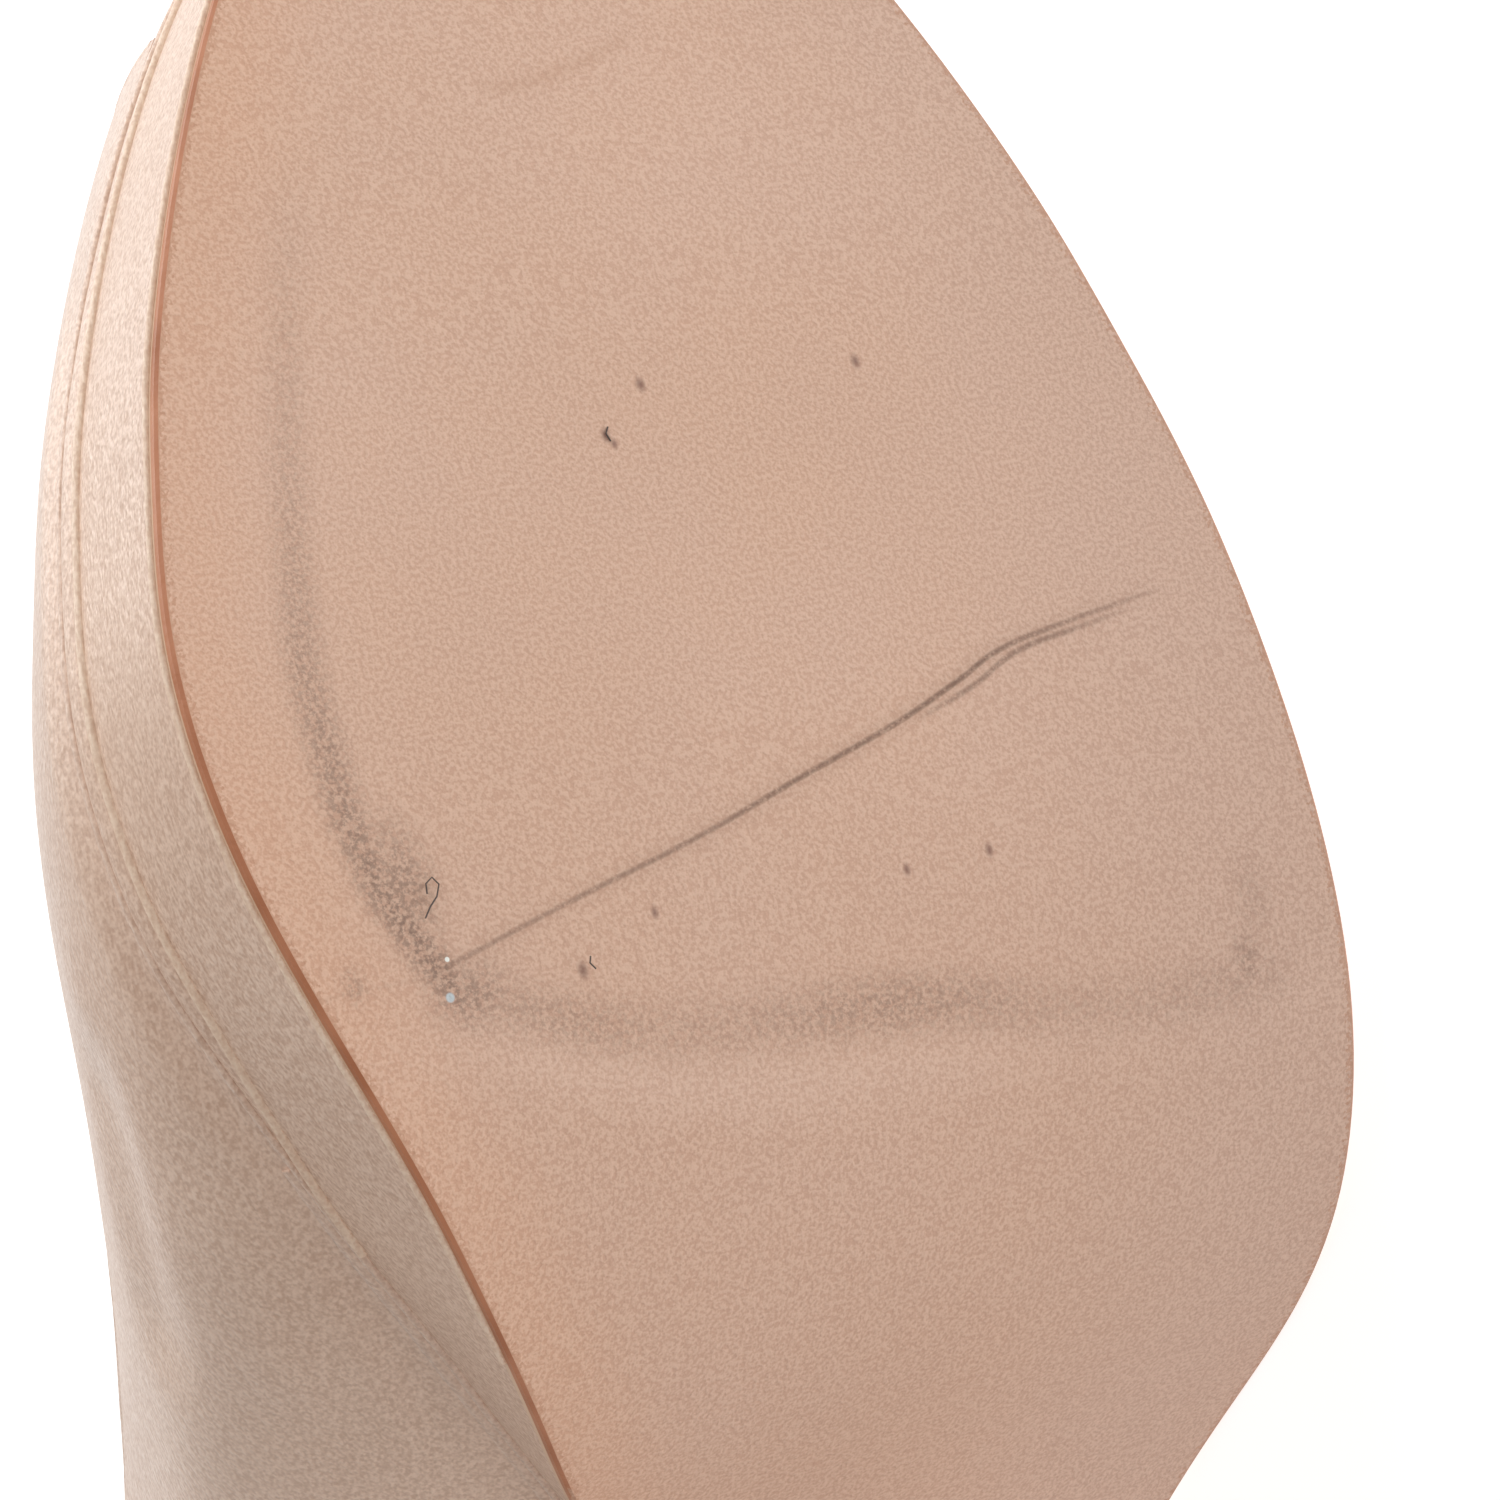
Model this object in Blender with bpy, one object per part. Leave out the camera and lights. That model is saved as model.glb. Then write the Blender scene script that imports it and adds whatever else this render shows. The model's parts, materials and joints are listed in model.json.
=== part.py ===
"""Peep toe pump, a left shoe with a covered platform and a slim high heel, lying on its outer side.

The pieces are modelled in the shoe's own frame: x towards the inner side of the foot, y towards the
toe, z up, with the tread and the top lift on z = 0. A share is a place along the last's underside,
from 0 at the back of the heel to 1 at the tip of the toe. An empty then lays the whole shoe down.
"""
import math
from collections import namedtuple

import bmesh
import bpy
import numpy as np
from mathutils import Matrix, Vector

# Driving sizes in metres
LAST_LENGTH = 0.243
BALL_WIDTH = 0.078
HEEL_RISE = 0.090
TOE_SPRING = 0.0030
PLATFORM_HEIGHT = 0.0154
OUTSOLE_THICKNESS = 0.0012
INSOLE_THICKNESS = 0.0025
UPPER_WALL = 0.0016
UPPER_HEIGHT = 0.072
COUNTER_BULGE = 0.005
RIDGE_OFFSET = 0.0035
LIFT_LENGTH = 0.012
LIFT_WIDTH = 0.010
LIFT_THICKNESS = 0.006
HEEL_SET = 0.015

# Clearances and small edges in metres
GAP = 0.0003
INSOLE_EASE = 0.0008
COVER_INSET = 0.0004
PLATFORM_END = 0.0004
SOLE_EDGE = 0.0002
WELT_HEIGHT = 0.0033
WELT_SET = 0.0005
WELT_CREASE = 0.0003

# Share of WELT_SET that the welt has rolled in near its top
WELT_ROLL = 0.4

# Places along the last, as shares of its length
HEEL_BREAST = 0.185
HEEL_ROUND = 0.11
TOE_ROUND = 0.16
TREAD_FLAT = 0.76
SPRING_START = 0.80
PLATFORM_TAPER = (0.478, 0.660)
WELT_FADE = (0.62, 0.70)

# How far the tip of the toe lies towards the inner side, as a share of the ball's width
TOE_TIP = 0.05

# Densities in kg per cubic metre, for the balance of the lying shoe
DENSITY = {"upper": 900, "insole": 700, "platform": 450, "outsole": 950, "heel": 1050, "top_lift": 1150}

Slope = namedtuple("Slope", "share steepness")
SLOPES = [
    Slope(0.00, 0.37), Slope(0.18, 0.38), Slope(0.25, 0.66), Slope(0.32, 0.95), Slope(0.40, 1.00),
    Slope(0.50, 0.97), Slope(0.58, 0.78), Slope(0.65, 0.36), Slope(0.70, 0.08), Slope(0.74, 0.00),
]

# Half widths of the sole on either side of the middle line, as shares of the ball's width
Outline = namedtuple("Outline", "share inner outer")
SOLE = [
    Outline(0.00, 0.325, 0.325), Outline(0.12, 0.330, 0.330), Outline(0.25, 0.285, 0.290),
    Outline(0.35, 0.222, 0.285), Outline(0.42, 0.175, 0.318), Outline(0.50, 0.168, 0.400),
    Outline(0.58, 0.327, 0.410), Outline(0.64, 0.457, 0.395), Outline(0.70, 0.553, 0.387),
    Outline(0.76, 0.570, 0.372), Outline(0.82, 0.525, 0.333), Outline(0.88, 0.453, 0.285),
    Outline(0.94, 0.392, 0.253), Outline(1.00, 0.330, 0.230),
]

# Sections of the upper: how far each side swells out past the sole as shares of the ball's width,
# the height of the last and of that swell as shares of the upper's height, how upright the section
# leaves the sole, and its lean towards the toe in degrees
Section = namedtuple("Section", "share inner outer height swell power lean")
SECTIONS = [
    Section(0.00, 0.040, 0.030, 1.00, 0.17, 2.30, 8), Section(0.12, 0.045, 0.030, 1.03, 0.18, 2.30, 11),
    Section(0.25, 0.085, 0.055, 1.00, 0.24, 2.30, 16), Section(0.35, 0.170, 0.075, 0.94, 0.31, 2.20, 21),
    Section(0.42, 0.270, 0.056, 0.90, 0.34, 2.20, 24), Section(0.50, 0.256, 0.028, 0.84, 0.31, 2.10, 24),
    Section(0.58, 0.159, 0.040, 0.77, 0.26, 1.95, 20), Section(0.64, 0.086, 0.040, 0.72, 0.21, 1.70, 15),
    Section(0.70, 0.027, 0.030, 0.64, 0.17, 1.52, 10), Section(0.76, 0.006, 0.020, 0.56, 0.15, 1.42, 5),
    Section(0.82, 0.002, 0.015, 0.47, 0.14, 1.40, 1), Section(0.88, 0.004, 0.010, 0.40, 0.13, 1.42, -2),
    Section(0.94, 0.004, 0.005, 0.34, 0.13, 1.46, -4), Section(1.00, 0.000, 0.000, 0.28, 0.13, 1.70, -5),
]

# Ribs of the upper from the peep edge back: where each one stands on the sole, where its top lies,
# the top's angle round the section, and the number of ribs from there to the next row
Rib = namedtuple("Rib", "foot top angle steps")
RIBS = [
    Rib(0.947, 0.935, 90, 5), Rib(0.912, 0.835, 90, 5), Rib(0.870, 0.735, 90, 2),
    Rib(0.847, 0.732, 80, 2), Rib(0.817, 0.724, 71, 2), Rib(0.782, 0.709, 62, 3),
    Rib(0.722, 0.678, 52, 3), Rib(0.650, 0.635, 45, 4), Rib(0.550, 0.560, 40, 4),
    Rib(0.430, 0.450, 36, 4), Rib(0.290, 0.300, 35, 4), Rib(HEEL_ROUND, HEEL_ROUND, 41, 0),
]
HEEL_RIBS = 8
HEEL_TOP_ANGLE = 48
RIB_ROWS = 12
RIB_CROWDING = 1.3
RIDGE_POWER = 2.15

# The heel from its seat down to the lift: what is left of the seat's extra length and width over
# the lift, and how much of HEEL_SET the back edge has moved forward
HeelLevel = namedtuple("HeelLevel", "drop length width back")
HEEL_LEVELS = [
    HeelLevel(0.00, 1.00, 1.00, 0.00), HeelLevel(0.05, 0.80, 0.93, 0.04),
    HeelLevel(0.12, 0.58, 0.77, 0.18), HeelLevel(0.20, 0.38, 0.57, 0.40),
    HeelLevel(0.30, 0.22, 0.37, 0.63), HeelLevel(0.42, 0.12, 0.21, 0.80),
    HeelLevel(0.56, 0.05, 0.10, 0.91), HeelLevel(0.72, 0.02, 0.04, 0.97),
    HeelLevel(0.88, 0.00, 0.01, 1.00), HeelLevel(1.00, 0.00, 0.00, 1.00),
]

# Share of the drop in which the heel leaves the square edge of its seat
SEAT_DEPTH = 0.08

SPINE_STEPS = 800
LAYER_ROWS = 56
ROUND_ROWS = 9


def smooth_curve(table, column, places):
    """Smooth curve through one column of a table, read at the given places."""
    knots = np.array([getattr(row, table[0]._fields[0]) for row in table], float)
    values = np.array([getattr(row, column) for row in table], float)
    steps = np.diff(knots)
    rises = np.diff(values) / steps
    slopes = np.empty_like(values)
    slopes[1:-1] = (rises[:-1] * steps[1:] + rises[1:] * steps[:-1]) / (steps[:-1] + steps[1:])
    slopes[0] = rises[0]
    slopes[-1] = rises[-1]
    places = np.clip(places, knots[0], knots[-1])
    cell = np.clip(np.searchsorted(knots, places, side="right") - 1, 0, len(steps) - 1)
    step = steps[cell]
    t = (places - knots[cell]) / step
    return (
        (2 * t**3 - 3 * t**2 + 1) * values[cell]
        + (t**3 - 2 * t**2 + t) * step * slopes[cell]
        + (3 * t**2 - 2 * t**3) * values[cell + 1]
        + (t**3 - t**2) * step * slopes[cell + 1]
    )


def smooth_step(value):
    value = np.clip(value, 0, 1)
    return value * value * (3 - 2 * value)


class Last:
    """The curved underside of the last, which every piece of the shoe is laid along."""

    def __init__(self):
        self.shares = np.linspace(0, 1, SPINE_STEPS + 1)
        steepness = smooth_curve(SLOPES, "steepness", self.shares)
        steepness[self.shares > SLOPES[-1].share] = 0
        spring = np.clip((self.shares - SPRING_START) / (1 - SPRING_START), 0, 1)
        spring_angle = 2 * TOE_SPRING / ((1 - SPRING_START) * LAST_LENGTH)
        self.slope = self.arch_angle(steepness) * steepness - spring_angle * spring
        self.y = self.running_sum(np.cos(self.slope))
        self.z = -self.running_sum(np.sin(self.slope))
        tread = np.interp(TREAD_FLAT, self.shares, self.z)
        self.z += PLATFORM_HEIGHT + OUTSOLE_THICKNESS - tread

    def arch_angle(self, steepness):
        """Steepest angle of the shank that gives the heel its rise, found by halving."""
        low, high = 0.0, math.pi / 2
        for _ in range(40):
            angle = (low + high) / 2
            if self.running_sum(np.sin(angle * steepness))[-1] < HEEL_RISE:
                low = angle
            else:
                high = angle
        return angle

    def running_sum(self, rates):
        means = (rates[1:] + rates[:-1]) / 2
        return np.concatenate([[0], np.cumsum(means)]) * LAST_LENGTH / SPINE_STEPS

    def place(self, share, x, height, lean=None):
        """Point at a share, x from the middle line, raised square to the underside or along a lean."""
        y = np.interp(share, self.shares, self.y)
        z = np.interp(share, self.shares, self.z)
        if lean is None:
            lean = np.interp(share, self.shares, self.slope)
        return np.stack(np.broadcast_arrays(x, y + height * np.sin(lean), z + height * np.cos(lean)), -1)


def round_ends(share):
    """Factor that draws half widths in to nothing round the heel's back and the toe's tip."""
    toe = np.clip((share - (1 - TOE_ROUND)) / TOE_ROUND, 0, 1)
    heel = np.clip((HEEL_ROUND - share) / HEEL_ROUND, 0, 1)
    return np.sqrt(np.clip(1 - np.maximum(toe, heel) ** 2, 0, 1))


def side_column(table, share, side):
    return smooth_curve(table, "inner" if side > 0 else "outer", share)


def sole_x(share, side):
    """Distance of the sole's outline from the middle line, negative on the outer side."""
    share = np.asarray(share, float)
    tip = np.where(share > 0.5, TOE_TIP, 0)
    return (tip + (side * side_column(SOLE, share, side) - tip) * round_ends(share)) * BALL_WIDTH


def even(value):
    """The same value all along the last."""
    return lambda share: value + 0 * share


def inset_edge(side, inset):
    """Shares and x of the sole's outline, from heel to toe, moved inwards by an inset that varies."""
    turn = np.linspace(0, math.pi, 1201)
    share = (1 - np.cos(turn)) / 2
    depth = inset(share)
    x = sole_x(share, side)
    run = LAST_LENGTH * np.sin(turn) / 2
    rise = np.gradient(x, turn)
    size = np.hypot(run, rise)
    return share + side * rise / size * depth / LAST_LENGTH, x - side * run / size * depth


def edge_x(side, inset, share):
    shares, x = inset_edge(side, inset)
    order = np.argsort(shares)
    return np.interp(share, shares[order], x[order])


def platform_drop(share):
    """Depth of the outsole's top under the last, which is the platform's height with its seams."""
    start, full = PLATFORM_TAPER
    return PLATFORM_HEIGHT * smooth_step((share - start) / (full - start))


def welt(share):
    """Share of its full size that the rounded welt between crease and upper has along the last."""
    start, full = WELT_FADE
    return smooth_step((share - start) / (full - start))


def upper_set(share):
    """Inset of the upper's foot from the sole's outline, wider behind the welt."""
    return COVER_INSET + WELT_SET * welt(share)


def platform_start():
    """Share where the tapering platform is as thin as its end."""
    shares = np.linspace(*PLATFORM_TAPER, 400)
    return float(np.interp(GAP + PLATFORM_END, platform_drop(shares), shares))


def spread_shares(start, inset):
    """Rows along a layer, even along its length and crowded round the ends that are rounded.

    A start of None begins at the back of the heel.
    """
    bend = np.linspace(0, math.pi / 2, ROUND_ROWS + 1)
    toe = 1 - inset(1) / LAST_LENGTH - TOE_ROUND * (1 - np.sin(bend))
    if start is None:
        heel = inset(0) / LAST_LENGTH + HEEL_ROUND * (1 - np.cos(bend))
        count = round(LAYER_ROWS * (1 - TOE_ROUND - HEEL_ROUND))
        return np.concatenate([heel[:-1], np.linspace(heel[-1], toe[0], count + 1)[:-1], toe])
    count = round(LAYER_ROWS * (1 - TOE_ROUND - start))
    return np.concatenate([np.linspace(start, toe[0], count + 1)[:-1], toe])


def strip_faces(mesh, first, second, closed=False):
    """Quads between two equally long rows of vertices."""
    count = len(first)
    for i in range(count if closed else count - 1):
        j = (i + 1) % count
        mesh.faces.new((first[i], first[j], second[j], second[i]))


def finish_mesh(mesh, name):
    """Closed mesh object out of a bmesh, with coinciding points joined and faces turned outwards."""
    bmesh.ops.remove_doubles(mesh, verts=mesh.verts, dist=1e-6)
    bmesh.ops.recalc_face_normals(mesh, faces=mesh.faces)
    data = bpy.data.meshes.new(name)
    mesh.to_mesh(data)
    mesh.free()
    data.shade_smooth()
    data.set_sharp_from_angle(angle=math.radians(40))
    piece = bpy.data.objects.new(name, data)
    bpy.context.scene.collection.objects.link(piece)
    return piece


def layer(last, name, start, profile):
    """Solid laid along the last between two outlines, such as a sole.

    The profile lists its corners from the bottom up, each as two functions of the share: the inset
    from the sole's outline and the height. A start of None rounds the layer off at the heel.
    """
    mesh = bmesh.new()
    columns = []
    for inset, height in profile:
        shares = spread_shares(start, inset)
        columns.append([last.place(shares, edge_x(side, inset, shares), height(shares)) for side in (1, -1)])
    inner = [column[0] for column in columns]
    outer = [column[1] for column in reversed(columns)]
    rings = np.stack(inner + outer, axis=1)
    rows = [[mesh.verts.new(point) for point in ring] for ring in rings]
    for first, second in zip(rows, rows[1:]):
        strip_faces(mesh, first, second, closed=True)
    if start is not None:
        mesh.faces.new(rows[0])
    return finish_mesh(mesh, name)


def build_outsole(last):
    top = lambda share: -platform_drop(share)
    bottom = lambda share: -platform_drop(share) - OUTSOLE_THICKNESS
    shoulder = lambda share: bottom(share) + SOLE_EDGE
    start = HEEL_BREAST + GAP / LAST_LENGTH
    return layer(last, "outsole", start, [(even(SOLE_EDGE), bottom), (even(0), shoulder), (even(0), top)])


def build_platform(last):
    """Covered block whose cover is folded in at a crease, with a rounded welt above it."""
    side = even(COVER_INSET)
    fold = lambda share: COVER_INSET + WELT_CREASE * welt(share)
    roll = lambda share: COVER_INSET + WELT_ROLL * WELT_SET * welt(share)
    bottom = lambda share: GAP - platform_drop(share)
    depth = lambda share: WELT_CREASE + (WELT_HEIGHT - WELT_CREASE) * welt(share)
    crease = lambda share: -np.minimum(depth(share), -bottom(share) / 3)
    profile = [
        (side, bottom), (side, crease), (fold, lambda share: crease(share) * 0.9),
        (side, lambda share: crease(share) * 0.7), (roll, lambda share: crease(share) * 0.2),
        (upper_set, even(0)),
    ]
    return layer(last, "platform", platform_start(), profile)


def build_insole(last):
    side = lambda share: upper_set(share) + UPPER_WALL + GAP + INSOLE_EASE
    rounded = lambda share: side(share) + INSOLE_THICKNESS * 0.3
    top = GAP + INSOLE_THICKNESS
    profile = [(side, even(GAP)), (side, even(top - INSOLE_THICKNESS * 0.3)), (rounded, even(top))]
    return layer(last, "insole", None, profile)


def upper_point(last, share, angle, side):
    """Point on the outside of the upper at an angle round its section, 0 at the sole, 90 on top."""
    reach = UPPER_HEIGHT * smooth_curve(SECTIONS, "height", share)
    swell = UPPER_HEIGHT * smooth_curve(SECTIONS, "swell", share)
    lean = np.radians(smooth_curve(SECTIONS, "lean", share))
    slope = np.interp(share, last.shares, last.slope)
    foot = GAP / np.cos(slope - lean)
    rise = np.sin(angle) ** (2 / smooth_curve(SECTIONS, "power", share))
    height = foot + (reach - foot) * rise
    sole = sole_x(share, side) - side * upper_set(share) * round_ends(share)
    spread = side * side_column(SECTIONS, share, side) * BALL_WIDTH * round_ends(share)
    x = (sole + spread) * np.clip(np.cos(angle), 0, 1) ** (2 / RIDGE_POWER)
    x -= spread * np.clip(1 - height / swell, 0, 1) ** 2
    x += RIDGE_OFFSET * rise * smooth_step((share - 0.3) / 0.3)
    point = last.place(share, x, height, lean)
    back = COUNTER_BULGE * np.sin(1.3 * math.pi * rise) * np.clip(1 - share / 0.3, 0, 1) ** 2
    point[..., 1] -= back
    return point


def upper_ribs():
    """Foot share, top share and top angle of every rib from the peep edge to the heel's back."""
    counts = np.cumsum([0] + [rib.steps for rib in RIBS[:-1]])
    Place = namedtuple("Place", "index foot top angle")
    table = [Place(count, rib.foot, rib.top, rib.angle) for count, rib in zip(counts, RIBS)]
    index = np.arange(counts[-1] + 1)
    foot = smooth_curve(table, "foot", index)
    top = smooth_curve(table, "top", index)
    angle = np.minimum(smooth_curve(table, "angle", index), 90)
    bend = np.linspace(math.pi / 2, 0, HEEL_RIBS + 1)[1:]
    heel = HEEL_ROUND * (1 - np.cos(bend))
    heel_angle = HEEL_TOP_ANGLE + (RIBS[-1].angle - HEEL_TOP_ANGLE) * heel / HEEL_ROUND
    foot = np.concatenate([foot, heel])
    top = np.concatenate([top, heel])
    return foot, top, np.radians(np.concatenate([angle, heel_angle]))


def build_upper(last):
    """Hollow shell: its outside is skinned rib by rib, then given its wall."""
    foot, top, top_angle = upper_ribs()
    rows = (np.arange(RIB_ROWS + 1) / RIB_ROWS) ** RIB_CROWDING
    share = foot[:, None] + (top - foot)[:, None] * rows
    angle = top_angle[:, None] * rows
    mesh = bmesh.new()
    for side in (1, -1):
        grid = upper_point(last, share, angle, side)
        ribs = [[mesh.verts.new(point) for point in rib] for rib in grid]
        for first, second in zip(ribs, ribs[1:]):
            if side > 0:
                strip_faces(mesh, first, second)
            else:
                strip_faces(mesh, second, first)
    piece = finish_mesh(mesh, "upper")
    wall = piece.modifiers.new("wall", "SOLIDIFY")
    wall.thickness = UPPER_WALL
    wall.offset = -1
    wall.use_even_offset = False
    return piece


def heel_rings(last, drops):
    """Inner and outer side of the heel at each drop from the seat to the top lift."""
    shares = np.concatenate([
        np.linspace(HEEL_BREAST, HEEL_ROUND, 4)[:-1],
        HEEL_ROUND * (1 - np.sin(np.linspace(0, math.pi / 2, ROUND_ROWS + 1))),
    ])
    seat_length = HEEL_BREAST * LAST_LENGTH
    seat_width = 2 * float(sole_x(HEEL_BREAST, 1))
    slopes = np.tan(np.interp(shares, last.shares, last.slope))
    rings = []
    for drop in drops:
        length = LIFT_LENGTH + (seat_length - LIFT_LENGTH) * smooth_curve(HEEL_LEVELS, "length", drop)
        width = LIFT_WIDTH + (seat_width - LIFT_WIDTH) * smooth_curve(HEEL_LEVELS, "width", drop)
        back = HEEL_SET * smooth_curve(HEEL_LEVELS, "back", drop)
        pair = []
        for side in (1, -1):
            seat = last.place(shares, sole_x(shares, side), 0 * shares)
            ring = np.empty_like(seat)
            ring[:, 0] = seat[:, 0] * width / seat_width
            ring[:, 2] = seat[:, 2] * (1 - drop) + (LIFT_THICKNESS + GAP) * drop
            square_y = seat[:, 1] - slopes * (seat[:, 2] - ring[:, 2])
            foot_y = back + shares * LAST_LENGTH * length / seat_length
            ring[:, 1] = square_y + (foot_y - square_y) * smooth_step(drop / SEAT_DEPTH)
            pair.append(ring)
        rings.append(pair)
    return rings


def stack_rings(mesh, rings):
    """Closed solid from D shaped rings, each an inner and an outer half from the breast to the back."""
    levels = [[[mesh.verts.new(point) for point in half] for half in pair] for pair in rings]
    for (inner, outer), (next_inner, next_outer) in zip(levels, levels[1:]):
        strip_faces(mesh, inner, next_inner)
        strip_faces(mesh, next_outer, outer)
        mesh.faces.new((outer[0], inner[0], next_inner[0], next_outer[0]))
    strip_faces(mesh, levels[0][1], levels[0][0])
    strip_faces(mesh, levels[-1][0], levels[-1][1])


def build_heel(last):
    drops = np.concatenate([np.linspace(0, 0.3, 11)[:-1], np.linspace(0.3, 1, 10)])
    mesh = bmesh.new()
    stack_rings(mesh, heel_rings(last, drops))
    return finish_mesh(mesh, "heel")


def build_top_lift(last):
    foot = heel_rings(last, np.array([1.0]))[0]
    rings = []
    for height in (LIFT_THICKNESS, 0):
        rings.append([np.column_stack([half[:, 0], half[:, 1], 0 * half[:, 0] + height]) for half in foot])
    mesh = bmesh.new()
    stack_rings(mesh, rings)
    return finish_mesh(mesh, "top_lift")


def linear(colour):
    """Linear colour from the 0 to 255 values that a screen shows."""
    return [((c / 255 + 0.055) / 1.055) ** 2.4 for c in colour] + [1.0]


def paint(piece, colour, roughness):
    material = bpy.data.materials.new(piece.name)
    material.use_nodes = True
    shader = material.node_tree.nodes["Principled BSDF"]
    shader.inputs["Base Color"].default_value = linear(colour)
    shader.inputs["Roughness"].default_value = roughness
    shader.inputs["Metallic"].default_value = 0.0
    piece.data.materials.append(material)


def solid_of(piece):
    """Evaluated mesh of a piece as a bmesh."""
    graph = bpy.context.evaluated_depsgraph_get()
    mesh = bmesh.new()
    mesh.from_object(piece, graph)
    return mesh


def centre_of_mass(pieces):
    total = Vector((0, 0, 0))
    mass = 0.0
    for piece in pieces:
        mesh = solid_of(piece)
        bmesh.ops.triangulate(mesh, faces=mesh.faces)
        for face in mesh.faces:
            a, b, c = [vertex.co for vertex in face.verts]
            part = a.dot(b.cross(c)) / 6 * DENSITY[piece.name]
            total += part * (a + b + c) / 4
            mass += part
        mesh.free()
    return total / mass


def resting_normal(pieces):
    """Outward normal of the flat side that the shoe rests on when it lies on its outer side."""
    hull = bmesh.new()
    for piece in pieces:
        mesh = solid_of(piece)
        for vertex in mesh.verts:
            hull.verts.new(vertex.co)
        mesh.free()
    bmesh.ops.convex_hull(hull, input=hull.verts)
    centre = centre_of_mass(pieces)
    best, best_depth = None, None
    for face in hull.faces:
        normal = face.normal
        if normal.x > -0.5:
            continue
        depths = []
        for loop in face.loops:
            edge = loop.link_loop_next.vert.co - loop.vert.co
            inward = normal.cross(edge).normalized()
            depths.append((centre - loop.vert.co).dot(inward))
        if best is None or min(depths) > best_depth:
            best, best_depth = normal.copy(), min(depths)
    hull.free()
    return best


def lay_down(pieces):
    """Parent the pieces to an empty that lays the shoe on its outer side with the toe towards +X."""
    down = resting_normal(pieces)
    toe = Vector((0, 1, 0))
    toe = (toe - down * toe.dot(down)).normalized()
    up = -down
    turn = Matrix((toe, up.cross(toe), up)).to_4x4()
    points = []
    for piece in pieces:
        mesh = solid_of(piece)
        points += [turn @ vertex.co for vertex in mesh.verts]
        mesh.free()
    points = np.array(points)
    low = points.min(axis=0)
    high = points.max(axis=0)
    middle = (low + high) / 2
    shoe = bpy.data.objects.new("shoe", None)
    shoe.empty_display_size = BALL_WIDTH
    bpy.context.scene.collection.objects.link(shoe)
    shoe.location = (-middle[0], -middle[1], -low[2])
    shoe.rotation_euler = turn.to_euler()
    for piece in pieces:
        piece.parent = shoe


def main():
    for old in list(bpy.data.objects):
        bpy.data.objects.remove(old)
    last = Last()
    outsole = build_outsole(last)
    platform = build_platform(last)
    upper = build_upper(last)
    insole = build_insole(last)
    heel = build_heel(last)
    top_lift = build_top_lift(last)
    paint(outsole, (213, 176, 154), 0.7)
    paint(platform, (186, 166, 146), 0.4)
    paint(upper, (216, 200, 184), 0.4)
    paint(insole, (205, 180, 158), 0.6)
    paint(heel, (200, 182, 164), 0.4)
    paint(top_lift, (60, 50, 44), 0.7)
    lay_down([outsole, platform, upper, insole, heel, top_lift])


main()
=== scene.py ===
"""Looks of the peep toe pump, a left shoe that lies on its outer side.

The shoe's own frame has x towards the inner side of the foot, y towards the toe and z up from the
tread, in millimetres here. Materials read it too, from Object coordinates turned by a Mapping node.
"""
import json
import math

import bmesh
import bpy
import numpy as np
from mathutils import Matrix, Vector
from mathutils.bvhtree import BVHTree
from mathutils.kdtree import KDTree


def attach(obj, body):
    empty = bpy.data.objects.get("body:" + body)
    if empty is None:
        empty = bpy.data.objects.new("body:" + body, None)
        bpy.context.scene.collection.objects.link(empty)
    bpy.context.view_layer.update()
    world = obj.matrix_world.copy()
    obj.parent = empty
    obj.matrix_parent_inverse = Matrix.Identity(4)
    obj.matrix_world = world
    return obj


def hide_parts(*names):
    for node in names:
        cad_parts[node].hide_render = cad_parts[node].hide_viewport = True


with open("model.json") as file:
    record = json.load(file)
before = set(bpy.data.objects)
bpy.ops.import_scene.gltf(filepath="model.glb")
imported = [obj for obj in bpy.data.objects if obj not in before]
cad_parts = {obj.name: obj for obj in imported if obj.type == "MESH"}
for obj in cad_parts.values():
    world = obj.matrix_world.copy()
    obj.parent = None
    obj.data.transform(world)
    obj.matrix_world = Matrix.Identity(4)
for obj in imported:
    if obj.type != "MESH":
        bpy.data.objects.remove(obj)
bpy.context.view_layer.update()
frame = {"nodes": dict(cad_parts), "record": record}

MM = 0.001

# Middle of the heel tip and of the tread in the shoe's own frame, in metres
HEEL_TIP = Vector((0, 0.021, 0))
TREAD = Vector((0.004, 0.154717828, 0))

# The photograph's eye, line of sight and top of the picture, in the shoe's own frame
EYE = Vector((0.243046, 0.058100, -0.376273))
SIGHT = Vector((-0.534760, 0.169199, 0.827891))
PICTURE_UP = Vector((-0.176925, 0.935612, -0.305495))
PICTURE_ASIDE = 0.020387
PICTURE_RAISE = 0.009280
LENS = 180

# Middle of the foot along the shoe, in millimetres
FOOT = [
    (0, 8, 116), (0, 31, 110), (0, 56, 101), (0, 78, 83), (0, 94, 64), (0, 109, 46), (0, 124, 33),
    (0, 142, 28.7), (0, 166, 28.6), (0, 189, 29.6), (0, 207, 31),
]

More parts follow.
